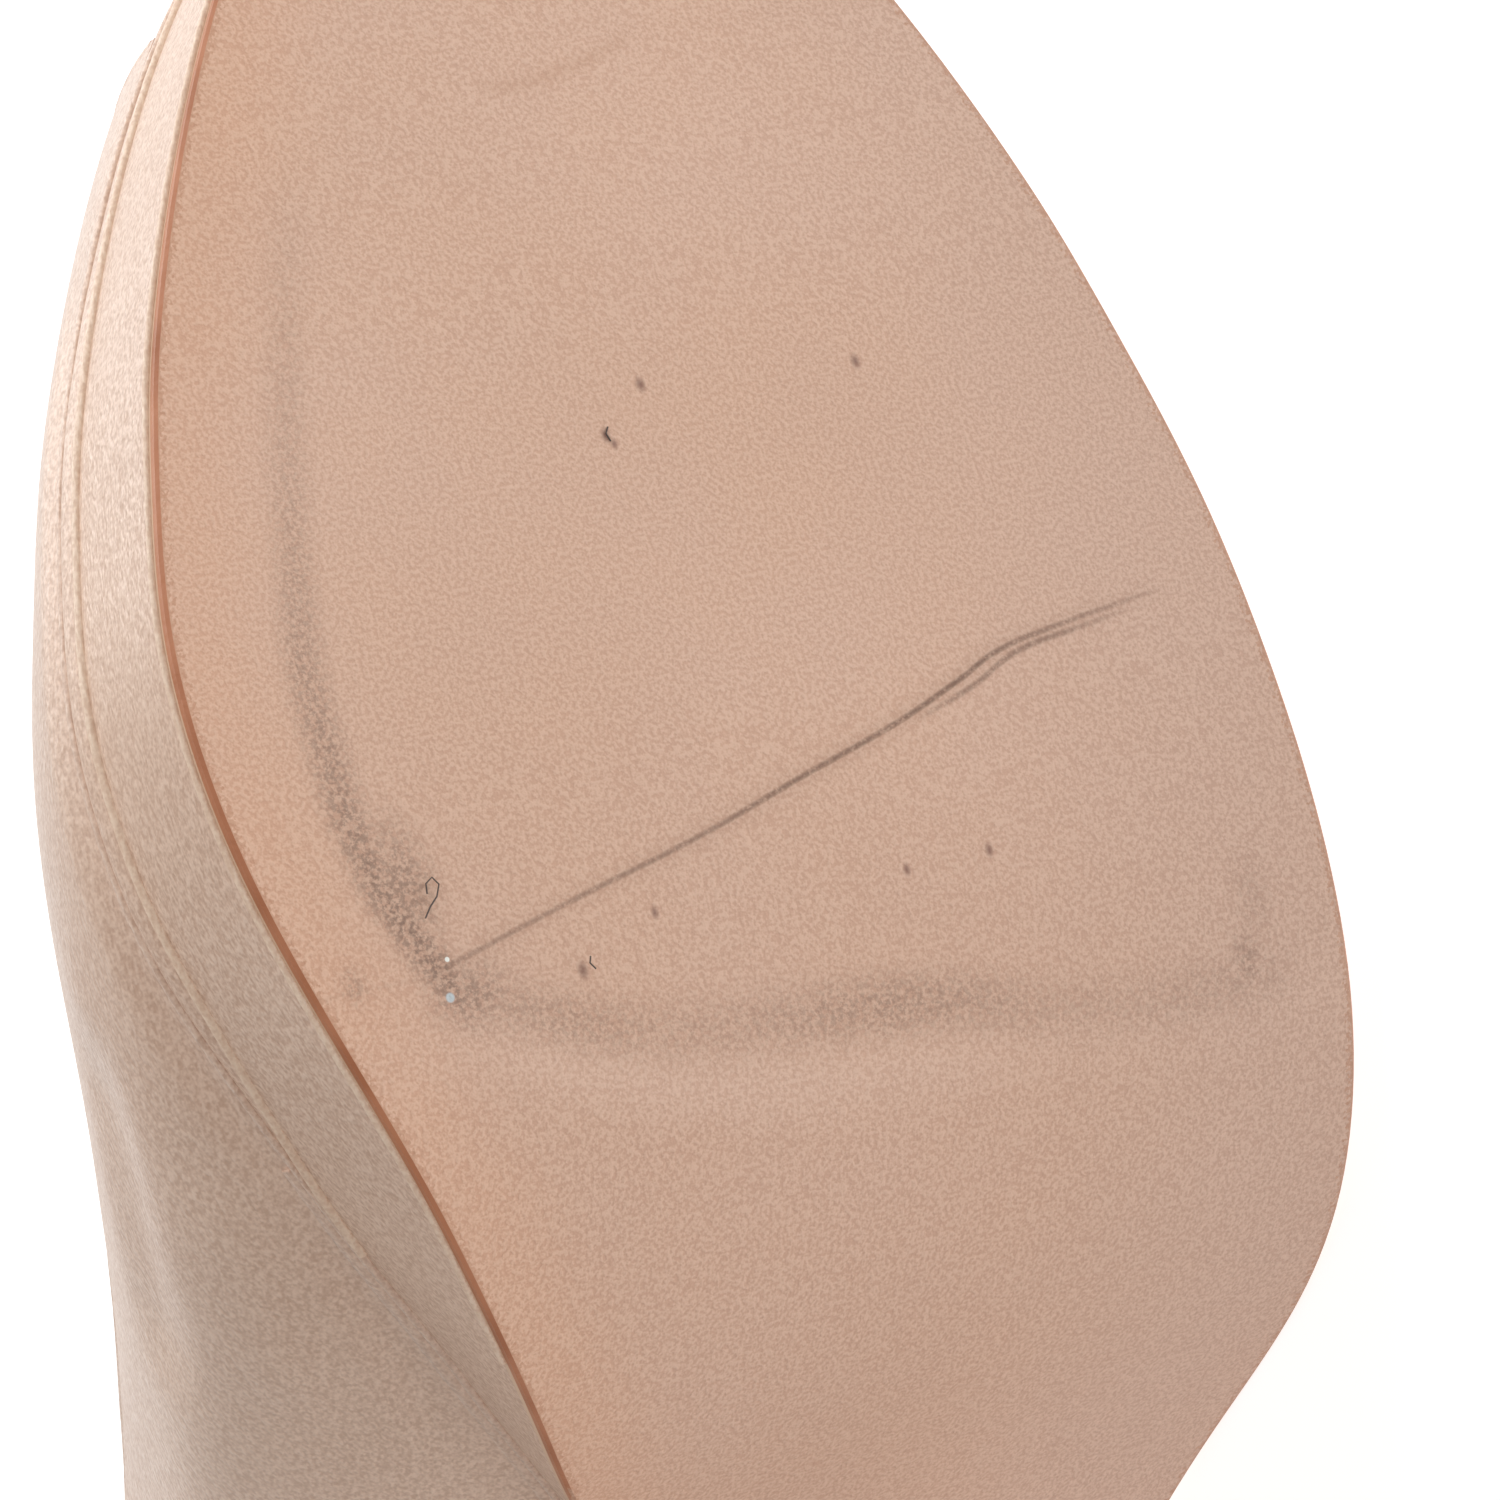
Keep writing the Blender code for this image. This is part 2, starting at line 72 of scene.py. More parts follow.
# Soft troughs of the upper, and its ridges where the depth is negative: the line along the shoe, the
# depth and the reach to either side, in millimetres
UPPER_CREASES = [
    ([(30.0, 186.0, 19.6), (36.7, 175.0, 19.2), (41.3, 163.0, 18.6), (43.4, 154.4, 18.6),
      (43.8, 147.7, 18.6), (42.8, 139.0, 18.8), (39.5, 130.0, 19.4), (36.0, 124.0, 20.6)], 0.9, 2.6),
    ([(42.8, 139.0, 27.3), (41.7, 134.8, 31.2), (40.8, 130.1, 33.5), (38.9, 123.2, 38.4),
      (36.6, 117.7, 44.6)], 0.7, 6.0),
    ([(43.0, 146.0, 26.0), (43.6, 139.5, 30.0), (42.0, 130.0, 37.0), (40.0, 124.0, 43.0)], -0.22, 5.0),
    ([(38.5, 128.0, 24.0), (36.0, 121.0, 29.0), (33.0, 114.0, 36.0)], -0.35, 5.0),
    ([(26.0, 108.0, 32.0), (29.0, 113.0, 27.5), (33.0, 119.0, 23.5), (35.5, 123.0, 21.5)], 0.35, 2.6),
]

# Middle of the rolled welt between the platform's fold and the upper, in millimetres
WELT_ROLL = [
    (31.0, 185.0, 16.0), (38.2, 172.0, 15.4), (42.2, 161.0, 15.2), (43.9, 151.5, 15.2),
    (43.6, 142.8, 15.4), (41.4, 134.0, 15.6), (38.4, 127.0, 16.4),
]

# Places along the shoe between which the upper's cloth is tucked in over the bare shank
SHANK = (46, 128)

# Spacing of the collar's stitches, how far under the binding they lie, and half of one stitch's size
STITCH_STEP = 3.1
STITCH_INSET = 3.2
STITCH_HALF = (0.18, 0.14, 0.95)

# Radii of the piping, seams, bindings, hairs and fibres, in millimetres
FOLD_PIPING, FOOT_PIPING, SOLE_SEAM = 0.42, 0.40, 0.26
COLLAR_BINDING, PEEP_BINDING, SHANK_TUCK = 0.9, 0.85, 0.95
BACK_SEAM, HEEL_SEAM = 0.32, 0.28
HAIR, FIBRE = 0.035, 0.05

# The satin's dullness, and its yarn floats: their length, how many cross a millimetre, and their height
SATIN_ROUGHNESS = 0.38
YARN_LENGTH, YARN_FINENESS, YARN_HEIGHT = 0.8, 3.6, 0.09

# How far up from the tread a spot's mask still shows, in millimetres
SPOT_RISE = 9

# Edges that turn by more than this stay firm when a shell is subdivided, in degrees
FIRM_TURN = 50

# Studio lights: name, place and side in metres, power in watts
LIGHTS = [
    ("light_above", (0.85, 0.05, 1.00), 1.1, 7.5),
    ("light_front", (-0.10, -1.30, 0.70), 1.2, 2.5),
    ("light_toe", (1.10, -0.10, 0.75), 0.8, 1.3),
    ("light_back", (1.15, 1.00, 0.75), 1.2, 11.0),
]
FLOOR_GLOW = 0.80
AIR_GLOW = 0.37

# Loose hairs that lie on the satin, and dark fibres caught on the tread, in millimetres
HAIRS = [
    [(40.6, 131.5, 21.5), (40.2, 130.4, 22.6), (39.8, 129.0, 23.2), (39.5, 127.8, 23.1)],
    [(38.9, 126.8, 24.0), (38.3, 125.6, 24.6), (37.9, 124.2, 24.7), (37.5, 123.2, 25.4)],
    [(41.9, 136.0, 22.0), (41.6, 134.8, 22.8), (41.3, 133.6, 23.0)],
    [(39.9, 126.9, 28.0), (39.6, 125.6, 28.4), (39.1, 124.2, 29.4)],
]
FIBRES = [
    [(33.6, 135.2, -0.03), (33.1, 135.8, -0.12), (32.5, 136.3, -0.15), (32.1, 137.0, -0.12),
     (32.4, 137.5, -0.10), (32.9, 137.2, -0.08), (33.0, 136.6, -0.04)],
    [(11.4, 161.6, -0.03), (11.6, 162.1, -0.10), (11.3, 162.5, -0.05)],
    [(23.7, 130.1, -0.03), (24.0, 130.5, -0.10), (23.8, 130.9, -0.05)],
]


def shoe_matrix():
    """Matrix from the shoe's own frame to the lying shoe's, from the two flat faces it names."""
    mounts = {mount["name"]: mount for mount in frame["record"]["mounts"]}
    tip = Vector(mounts["heel_tip"]["pos_m"])
    up = -Vector(mounts["heel_tip"]["axis"]).normalized()
    along = (Vector(mounts["tread"]["pos_m"]) - tip).normalized()
    along = (along - up * along.dot(up)).normalized()
    own_along = (TREAD - HEEL_TIP).normalized()
    own_up = Vector((0, 0, 1))
    lying = Matrix((along, up.cross(along), up)).transposed()
    own = Matrix((own_along, own_up.cross(own_along), own_up)).transposed()
    turn = (lying @ own.transposed()).to_4x4()
    return Matrix.Translation(tip - turn @ HEEL_TIP) @ turn


SHOE = shoe_matrix()
TO_SHOE = SHOE.inverted()


def lying_points(points):
    """Points in the shoe's millimetres, moved to where the shoe lies."""
    return [SHOE @ (Vector(point) * MM) for point in points]


def tone(red, green, blue):
    """Colour for a shader from the 0 to 255 values that a screen shows."""
    return [((value / 255 + 0.055) / 1.055) ** 2.4 for value in (red, green, blue)] + [1.0]


# Nodes


def feed(tree, socket, given):
    """Joins an input to an output, or gives it a value."""
    if isinstance(given, bpy.types.NodeSocket):
        tree.links.new(given, socket)
    else:
        socket.default_value = given


def put(tree, kind, inputs=None, **settings):
    """Adds a node with its settings, and feeds its inputs."""
    node = tree.nodes.new(kind)
    for name, value in settings.items():
        setattr(node, name, value)
    for name, given in (inputs or {}).items():
        feed(tree, node.inputs[name], given)
    return node


def joined(tree, first, second, kind="ADD"):
    """Result of two values put together: their sum, where kind names nothing else."""
    return put(tree, "ShaderNodeMath", {0: first, 1: second}, operation=kind).outputs[0]


def ranged(tree, value, low, high, start=0.0, end=1.0, kind="SMOOTHSTEP"):
    """Value taken from low..high to start..end, held at the ends."""
    inputs = {"Value": value, "From Min": low, "From Max": high, "To Min": start, "To Max": end}
    return put(tree, "ShaderNodeMapRange", inputs, interpolation_type=kind).outputs[0]


def mixed(tree, share, first, second, kind="MIX"):
    """Colour between two others."""
    node = put(tree, "ShaderNodeMix", {0: share}, data_type="RGBA", blend_type=kind)
    for index, given in ((6, first), (7, second)):
        feed(tree, node.inputs[index], given)
    return node.outputs[2]


def new_group(name, inputs, outputs):
    """Empty node group with its sockets, and its input and output nodes."""
    group = bpy.data.node_groups.new(name, "ShaderNodeTree")
    kinds = {"value": "NodeSocketFloat", "vector": "NodeSocketVector", "colour": "NodeSocketColor"}
    for socket, kind, value in inputs:
        made = group.interface.new_socket(socket, in_out="INPUT", socket_type=kinds[kind])
        made.default_value = value
    for socket, kind in outputs:
        group.interface.new_socket(socket, in_out="OUTPUT", socket_type=kinds[kind])
    return group, group.nodes.new("NodeGroupInput").outputs, group.nodes.new("NodeGroupOutput").inputs


def use(tree, group, inputs):
    """Outputs of a node group that is placed in a material."""
    return put(tree, "ShaderNodeGroup", dict(inputs), node_tree=group).outputs


def satin_group():
    """Short floats of the satin's yarns, as a shade about 0.5 and a height."""
    group, given, result = new_group(
        "satin_floats",
        [("Place", "vector", (0, 0, 0)), ("Length", "value", 1.4), ("Fineness", "value", 4.5)],
        [("Shade", "value"), ("Height", "value")],
    )
    link = group.links.new
    slow = joined(group, 1.0, given["Length"], "DIVIDE")
    fineness = given["Fineness"]
    scale = put(group, "ShaderNodeCombineXYZ", {"X": fineness, "Y": slow, "Z": fineness}).outputs[0]
    place = put(group, "ShaderNodeVectorMath", {0: given["Place"], 1: scale}, operation="MULTIPLY")
    floats = put(group, "ShaderNodeTexNoise", {"Vector": place.outputs[0], "Scale": 1.0, "Detail": 1.0})
    specks = put(group, "ShaderNodeTexNoise", {"Vector": given["Place"], "Scale": 3.6, "Detail": 1.0})
    both = joined(group, floats.outputs["Fac"], specks.outputs["Fac"])
    half = joined(group, both, 0.5, "MULTIPLY")
    link(half, result["Shade"])
    link(floats.outputs["Fac"], result["Height"])
    return group


def grain_group():
    """Velvety grain of buffed leather: small pale and dark flecks between shallow pores."""
    group, given, result = new_group(
        "leather_grain",
        [("Place", "vector", (0, 0, 0)), ("Fineness", "value", 4.0)],
        [("Shade", "value"), ("Height", "value")],
    )
    place = given["Place"]
    fine = put(group, "ShaderNodeTexNoise",
               {"Vector": place, "Scale": given["Fineness"], "Detail": 1.0, "Roughness": 0.62})
    cell = joined(group, given["Fineness"], 0.55, "MULTIPLY")
    pores = put(group, "ShaderNodeTexVoronoi", {"Vector": place, "Scale": cell, "Randomness": 1.0})
    pits = ranged(group, pores.outputs["Distance"], 0.0, 0.75)
    mixed_height = joined(group, fine.outputs["Fac"], joined(group, pits, 0.35, "MULTIPLY"))
    group.links.new(fine.outputs["Fac"], result["Shade"])
    group.links.new(mixed_height, result["Height"])
    return group


def spot_group():
    """Mask of a soft oval spot: 1 at its middle and 0 at its edge."""
    group, given, result = new_group(
        "soft_spot",
        [("Place", "vector", (0, 0, 0)), ("Middle", "vector", (0, 0, 0)),
         ("Radii", "vector", (1, 1, 1))],
        [("Mask", "value")],
    )
    place = given["Place"]
    away = put(group, "ShaderNodeVectorMath", {0: place, 1: given["Middle"]}, operation="SUBTRACT").outputs[0]
    share = put(group, "ShaderNodeVectorMath", {0: away, 1: given["Radii"]}, operation="DIVIDE").outputs[0]
    reach = put(group, "ShaderNodeVectorMath", {0: share}, operation="LENGTH")
    group.links.new(ranged(group, reach.outputs["Value"], 0.0, 1.0, 1.0, 0.0), result["Mask"])
    return group


def cloud_group():
    """Slow drift of tone over a surface, about 0.5."""
    group, given, result = new_group(
        "cloudy_tone",
        [("Place", "vector", (0, 0, 0)), ("Size", "value", 30.0)],
        [("Shade", "value")],
    )
    scale = joined(group, 1.0, given["Size"], "DIVIDE")
    cloud = put(group, "ShaderNodeTexNoise", {"Vector": given["Place"], "Scale": scale, "Detail": 1.0})
    group.links.new(ranged(group, cloud.outputs["Fac"], 0.25, 0.75), result["Shade"])
    return group


SATIN = satin_group()
GRAIN = grain_group()
SPOT = spot_group()
CLOUD = cloud_group()


def new_material(name, roughness, **plain):
    """Material with its shader, and the place on the shoe in millimetres for its patterns."""
    material = bpy.data.materials.new(name)
    material.use_nodes = True
    tree = material.node_tree
    shader = tree.nodes["Principled BSDF"]
    shader.inputs["Roughness"].default_value = roughness
    for socket, value in plain.items():
        shader.inputs[socket.replace("_", " ")].default_value = value
    where = put(tree, "ShaderNodeTexCoord")
    turn = put(tree, "ShaderNodeMapping", {"Vector": where.outputs["Object"]})
    turn.inputs["Location"].default_value = TO_SHOE.translation / MM
    turn.inputs["Rotation"].default_value = TO_SHOE.to_euler("XYZ")
    turn.inputs["Scale"].default_value = (1 / MM, 1 / MM, 1 / MM)
    return material, tree, shader, turn.outputs[0]


def raise_surface(tree, shader, height, depth):
    """Bump from a height between 0 and 1 that is worth depth millimetres."""
    bump = put(tree, "ShaderNodeBump", {"Height": height, "Strength": 1.0, "Distance": depth * MM})
    tree.links.new(bump.outputs[0], shader.inputs["Normal"])


def line_mask(tree, run, aside, points, width):
    """Mask of a line on the tread. Its points are (run, aside, strength), with run growing."""
    low, high = points[0][0], points[-1][0]
    sides = [point[1] for point in points]
    near, far = min(sides) - 1, max(sides) + 1
    share = ranged(tree, run, low, high, kind="LINEAR")

    def curve_through(values):
        node = put(tree, "ShaderNodeFloatCurve", {"Value": share})
        curve = node.mapping.curves[0]
        places = [(point[0] - low) / (high - low) for point in points]
        curve.points[0].location = (places[0], values[0])
        curve.points[1].location = (places[-1], values[-1])
        for place, value in list(zip(places, values))[1:-1]:
            curve.points.new(place, value)
        for point in curve.points:
            point.handle_type = "AUTO_CLAMPED"
        node.mapping.update()
        return node.outputs[0]

    middle = curve_through([(side - near) / (far - near) for side in sides])
    middle = ranged(tree, middle, 0.0, 1.0, near, far, kind="LINEAR")
    away = joined(tree, aside, middle, "SUBTRACT")
    away = put(tree, "ShaderNodeMath", {0: away}, operation="ABSOLUTE").outputs[0]
    core = ranged(tree, away, 0.0, width, 1.0, 0.0)
    return joined(tree, core, curve_through([point[2] for point in points]), "MULTIPLY")


def spot_mask(tree, place, middle, radii):
    """Mask of a soft oval spot on the tread."""
    inputs = {"Place": place, "Middle": (*middle, 0), "Radii": (*radii, SPOT_RISE)}
    return use(tree, SPOT, inputs)["Mask"]


def satin(name, light, dark, **plain):
    """Satin cloth: pale yarn floats over a darker ground, with a soft sheen."""
    material, tree, shader, place = new_material(name, SATIN_ROUGHNESS, **plain)
    weave = use(tree, SATIN, {"Place": place, "Length": YARN_LENGTH, "Fineness": YARN_FINENESS})
    cloud = use(tree, CLOUD, {"Place": place, "Size": 24.0})
    shade = joined(tree, ranged(tree, weave["Shade"], 0.33, 0.67), 0.75, "MULTIPLY")
    shade = joined(tree, shade, joined(tree, cloud["Shade"], 0.25, "MULTIPLY"))
    tree.links.new(mixed(tree, shade, tone(*dark), tone(*light)), shader.inputs["Base Color"])
    duller, shinier = SATIN_ROUGHNESS + 0.1, SATIN_ROUGHNESS - 0.1
    tree.links.new(ranged(tree, weave["Shade"], 0.3, 0.7, duller, shinier), shader.inputs["Roughness"])
    raise_surface(tree, shader, weave["Height"], YARN_HEIGHT)
    return material


def tread_leather():
    """Buffed sole leather with the rubs, the long scratch and the specks of a little wear."""
    material, tree, shader, place = new_material("tread_leather", 0.72, Specular_IOR_Level=0.25)
    grain = use(tree, GRAIN, {"Place": place, "Fineness": 3.7})
    wide = use(tree, CLOUD, {"Place": place, "Size": 38.0})
    small = use(tree, CLOUD, {"Place": place, "Size": 9.0})
    axes = put(tree, "ShaderNodeSeparateXYZ", {"Vector": place}).outputs
    x, y = axes["X"], axes["Y"]

    colour = mixed(tree, wide["Shade"], tone(207, 175, 156), tone(213, 182, 165))
    colour = mixed(tree, joined(tree, small["Shade"], 0.30, "MULTIPLY"), colour, tone(214, 179, 157))
    lower = ranged(tree, y, 100.0, 165.0, 0.45, 0.0)
    colour = mixed(tree, lower, colour, tone(198, 166, 148))
    outer = ranged(tree, x, 0.0, -30.0, 0.0, 0.75)
    colour = mixed(tree, outer, colour, tone(201, 175, 161))
    rim = put(tree, "ShaderNodeAttribute", attribute_name="rim_mm").outputs["Fac"]
    warm = joined(tree, ranged(tree, rim, 1.0, 9.0, 0.30, 0.0), ranged(tree, x, 5.0, 20.0), "MULTIPLY")
    colour = mixed(tree, warm, colour, tone(220, 172, 142))

    pale = line_mask(tree, x, y, [(-6, 120.0, 0.3), (-0.1, 120.6, 0.6), (12.1, 121.4, 0.8),
                                  (24.3, 124.3, 0.8), (31, 127.0, 0.2)], 3.4)
    colour = mixed(tree, joined(tree, pale, 0.5, "MULTIPLY"), colour, tone(219, 190, 174))

    flecks = ranged(tree, grain["Shade"], 0.36, 0.64)
    flecked = mixed(tree, flecks, tone(172, 134, 112), tone(240, 212, 194))
    colour = mixed(tree, 0.38, colour, flecked, "SOFT_LIGHT")
    colour = mixed(tree, joined(tree, flecks, 0.10, "MULTIPLY"), colour, tone(236, 206, 186))

    speckle = put(tree, "ShaderNodeTexNoise",
                  {"Vector": place, "Scale": 2.6, "Detail": 2.0, "Roughness": 0.75}).outputs["Fac"]
    rough_rub = ranged(tree, speckle, 0.40, 0.62)
    rub = line_mask(tree, y, x, [(127.5, 31.0, 0.0), (129.5, 32.2, 0.6), (131.0, 32.8, 0.9),
                                 (134.0, 34.2, 1.0), (138.1, 35.8, 0.9), (143.2, 36.5, 0.75),
                                 (149.4, 36.4, 0.62), (157.9, 34.7, 0.42), (164.5, 32.9, 0.30),
                                 (173.7, 29.9, 0.18), (183.0, 26.2, 0.0)], 2.3)
    band = line_mask(tree, x, y, [(-27.5, 121.4, 0.0), (-21.3, 121.1, 0.30), (-11.4, 121.6, 0.22),
                                  (-0.7, 124.0, 0.48), (4.3, 124.6, 0.55), (10.0, 125.0, 0.4),
                                  (17.1, 125.6, 0.26), (26.2, 128.0, 0.42), (33.5, 131.4, 0.0)], 3.0)
    dirt = joined(tree, rub, band, "MAXIMUM")
    spots = [
        ((34.2, 137.4), (3.4, 6.5), 0.75), ((31.5, 130.4), (4.5, 3.0), 0.75),
        ((6.3, 125.3), (5.0, 1.9), 0.5), ((1.5, 124.0), (3.4, 1.6), 0.62),
        ((-22.9, 122.2), (2.0, 3.2), 0.75), ((-24.2, 114.3), (1.3, 2.2), 0.45),
        ((39.0, 132.3), (1.4, 1.9), 0.45), ((-24.0, 126.0), (2.4, 4.5), 0.28),
        ((35.6, 152.0), (1.5, 5.0), 0.35),
    ]
    for middle, radii, strength in spots:
        spot = spot_mask(tree, place, middle, radii)
        dirt = joined(tree, dirt, joined(tree, spot, strength, "MULTIPLY"), "MAXIMUM")
    soft_dirt = joined(tree, dirt, 0.28, "MULTIPLY")
    colour = mixed(tree, soft_dirt, colour, tone(158, 126, 108))
    dotted = joined(tree, joined(tree, dirt, rough_rub, "MULTIPLY"), 0.62, "MULTIPLY")
    colour = mixed(tree, dotted, colour, tone(104, 84, 74))

    broken = ranged(tree, speckle, 0.30, 0.55, 0.35, 1.0)
    scratch_line = [(-24.0, 146.0, 0.0), (-20.4, 145.6, 0.45), (-15.5, 145.0, 0.65),
                    (-10.7, 144.2, 0.85), (-7.3, 142.9, 0.95), (-2.2, 141.1, 0.9), (5.9, 138.9, 0.85), (13.8, 136.7, 0.7),
                    (24.0, 134.4, 0.6), (31.0, 132.7, 0.5), (34.4, 131.9, 0.1)]
    scratch = line_mask(tree, x, y, scratch_line, 0.26)
    twin = line_mask(tree, x, y, [(-21.0, 145.1, 0.0), (-17.0, 144.6, 0.5), (-12.0, 143.9, 0.75),
                                  (-8.0, 142.3, 0.7), (-3.0, 140.8, 0.0)], 0.30)
    halo = line_mask(tree, x, y, scratch_line, 1.3)
    scratch = joined(tree, scratch, twin, "MAXIMUM")
    colour = mixed(tree, joined(tree, halo, 0.22, "MULTIPLY"), colour, tone(160, 126, 106))
    scratched = joined(tree, joined(tree, scratch, broken, "MULTIPLY"), 0.85, "MULTIPLY")
    colour = mixed(tree, scratched, colour, tone(122, 94, 80))

    arc = line_mask(tree, x, y, [(0.5, 187.4, 0.1), (1.2, 187.0, 0.4), (6.2, 185.6, 0.5),
                                 (10.6, 185.1, 0.5), (12.5, 185.6, 0.0)], 1.0)
    colour = mixed(tree, joined(tree, arc, 0.5, "MULTIPLY"), colour, tone(190, 148, 122))
    specks = [
        ((11.6, 162.0), 0.45), ((8.1, 164.8), 0.5), ((-7.3, 163.9), 0.5), ((18.2, 132.8), 0.4),
        ((23.9, 130.4), 0.55), ((0.3, 132.1), 0.4), ((-5.8, 132.2), 0.45), ((11.2, 161.4), 0.35),
    ]
    speck = 0.0
    for middle, half in specks:
        speck = joined(tree, speck, spot_mask(tree, place, middle, (half, half * 1.5)), "MAXIMUM")
    colour = mixed(tree, joined(tree, speck, 0.7, "MULTIPLY"), colour, tone(110, 74, 66))
    crumbs = [((32.6, 132.7), 0.24, (240, 240, 232)), ((33.0, 130.5), 0.45, (196, 202, 204))]
    for middle, half, shown in crumbs:
        spot = spot_mask(tree, place, middle, (half, half))
        colour = mixed(tree, ranged(tree, spot, 0.1, 0.5), colour, tone(*shown))

    nap = put(tree, "ShaderNodeTexNoise", {"Vector": place, "Scale": 3.4, "Detail": 1.0})
    reach = ranged(tree, nap.outputs["Fac"], 0.40, 0.66, 0.08, 0.62)
    frayed = joined(tree, joined(tree, rim, reach, "LESS_THAN"), 0.42, "MULTIPLY")
    colour = mixed(tree, frayed, colour, tone(184, 132, 102))

    tree.links.new(colour, shader.inputs["Base Color"])
    lifted = joined(tree, grain["Height"], joined(tree, scratch, -2.0, "MULTIPLY"))
    raise_surface(tree, shader, lifted, 0.075)
    return material


def edge_paint():
    """Brown paint on the cut edge of the sole."""
    material, tree, shader, place = new_material("edge_paint", 0.45)
    cloud = use(tree, CLOUD, {"Place": place, "Size": 5.0})
    height = put(tree, "ShaderNodeAttribute", attribute_name="edge_mm").outputs["Fac"]
    paint = mixed(tree, cloud["Shade"], tone(172, 106, 70), tone(196, 130, 94))
    bare = ranged(tree, height, 0.72, 0.82)
    tree.links.new(mixed(tree, bare, paint, tone(222, 188, 160)), shader.inputs["Base Color"])
    grain = use(tree, GRAIN, {"Place": place, "Fineness": 4.0})
    raise_surface(tree, shader, grain["Height"], 0.03)
    return material


def sock_leather(name, light, dark):
    """Smooth lining leather with a fine, even grain."""
    material, tree, shader, place = new_material(name, 0.55, Specular_IOR_Level=0.35)
    grain = use(tree, GRAIN, {"Place": place, "Fineness": 1.8})
    cloud = use(tree, CLOUD, {"Place": place, "Size": 30.0})
    grain_share = joined(tree, grain["Shade"], 0.4, "MULTIPLY")
    shade = joined(tree, grain_share, joined(tree, cloud["Shade"], 0.6, "MULTIPLY"))
    tree.links.new(mixed(tree, shade, tone(*dark), tone(*light)), shader.inputs["Base Color"])
    raise_surface(tree, shader, grain["Height"], 0.06)
    return material


def lift_rubber():
    """Dark rubber of the top lift, worn greyer where it meets the ground."""
    material, tree, shader, place = new_material("lift_rubber", 0.68)
    grain = use(tree, GRAIN, {"Place": place, "Fineness": 3.0})
    cloud = use(tree, CLOUD, {"Place": place, "Size": 4.0})
    axes = put(tree, "ShaderNodeSeparateXYZ", {"Vector": place}).outputs
    colour = mixed(tree, cloud["Shade"], tone(56, 47, 42), tone(70, 60, 54))
    worn = joined(tree, ranged(tree, axes["Z"], 0.0, 1.2, 0.7, 0.0), grain["Shade"], "MULTIPLY")
    colour = mixed(tree, worn, colour, tone(112, 100, 90))
    tree.links.new(colour, shader.inputs["Base Color"])
    raise_surface(tree, shader, grain["Height"], 0.05)
    return material


# Modelling


def choose(*pieces):
    """Selects only these pieces, and makes the first one active."""
    bpy.ops.object.select_all(action="DESELECT")
    for piece in pieces:
        piece.select_set(True)
    bpy.context.view_layer.objects.active = pieces[0]


def edit(piece, *steps):
    """Runs steps of edit mode on one piece."""
    choose(piece)
    bpy.ops.object.mode_set(mode="EDIT")
    for step in steps:
        step()
    bpy.ops.object.mode_set(mode="OBJECT")


def vertex_table(piece):
    """Places in the shoe's millimetres and outward directions of a piece's vertices."""
    mesh = piece.data
    places = np.empty(len(mesh.vertices) * 3)
    normals = np.empty(len(mesh.vertices) * 3)
    mesh.vertices.foreach_get("co", places)
    mesh.vertices.foreach_get("normal", normals)
    turn = np.array(TO_SHOE)
    places = places.reshape(-1, 3) @ turn[:3, :3].T + turn[:3, 3]
    return places / MM, normals.reshape(-1, 3) @ turn[:3, :3].T


def place_vertices(piece, places):
    """Puts a piece's vertices at places in the shoe's millimetres."""
    turn = np.array(SHOE)
    moved = (places * MM) @ turn[:3, :3].T + turn[:3, 3]
    piece.data.vertices.foreach_set("co", moved.ravel())
    piece.data.update()


def clean_copy(node, name):
    """Copy of a CAD node as clean quads, which stands for the node."""
    mesh = frame["nodes"][node].data.copy()
    mesh.name = name
    piece = bpy.data.objects.new(name, mesh)
    bpy.context.scene.collection.objects.link(piece)
    mesh.materials.clear()
    edit(
        piece,
        lambda: bpy.ops.mesh.select_all(action="SELECT"),
        lambda: bpy.ops.mesh.remove_doubles(threshold=1e-6),
        lambda: bpy.ops.mesh.customdata_custom_splitnormals_clear(),
        lambda: bpy.ops.mesh.tris_convert_to_quads(
            face_threshold=math.radians(50), shape_threshold=math.radians(60)),
    )
    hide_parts(node)
    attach(piece, "root")
    return piece


def choose_sharp(piece, angle, *steps):
    """Selects the edges that turn by more than an angle, then runs steps of edit mode."""
    edit(
        piece,
        lambda: bpy.ops.mesh.select_mode(type="EDGE"),
        lambda: bpy.ops.mesh.select_all(action="DESELECT"),
        lambda: bpy.ops.mesh.edges_select_sharp(sharpness=math.radians(angle)),
        *steps,
    )


def hold_edges(piece, angle):
    """Keeps edges that turn by more than an angle firm when the piece is subdivided."""
    choose_sharp(piece, angle)
    mesh = piece.data
    crease = mesh.attributes.get("crease_edge") or mesh.attributes.new("crease_edge", "FLOAT", "EDGE")
    held = [float(edge.select) for edge in mesh.edges]
    crease.data.foreach_set("value", held)


def subdivide(piece, levels):
    """Rounds a piece's faces, and keeps the rounded mesh."""
    smooth = piece.modifiers.new("smooth", "SUBSURF")
    smooth.levels = levels
    smooth.render_levels = levels
    choose(piece)
    bpy.ops.object.modifier_apply(modifier=smooth.name)


def shade(piece, angle=35):
    """Smooth shading, apart from edges that turn by more than an angle."""
    choose(piece)
    bpy.ops.object.shade_smooth_by_angle(angle=math.radians(angle))


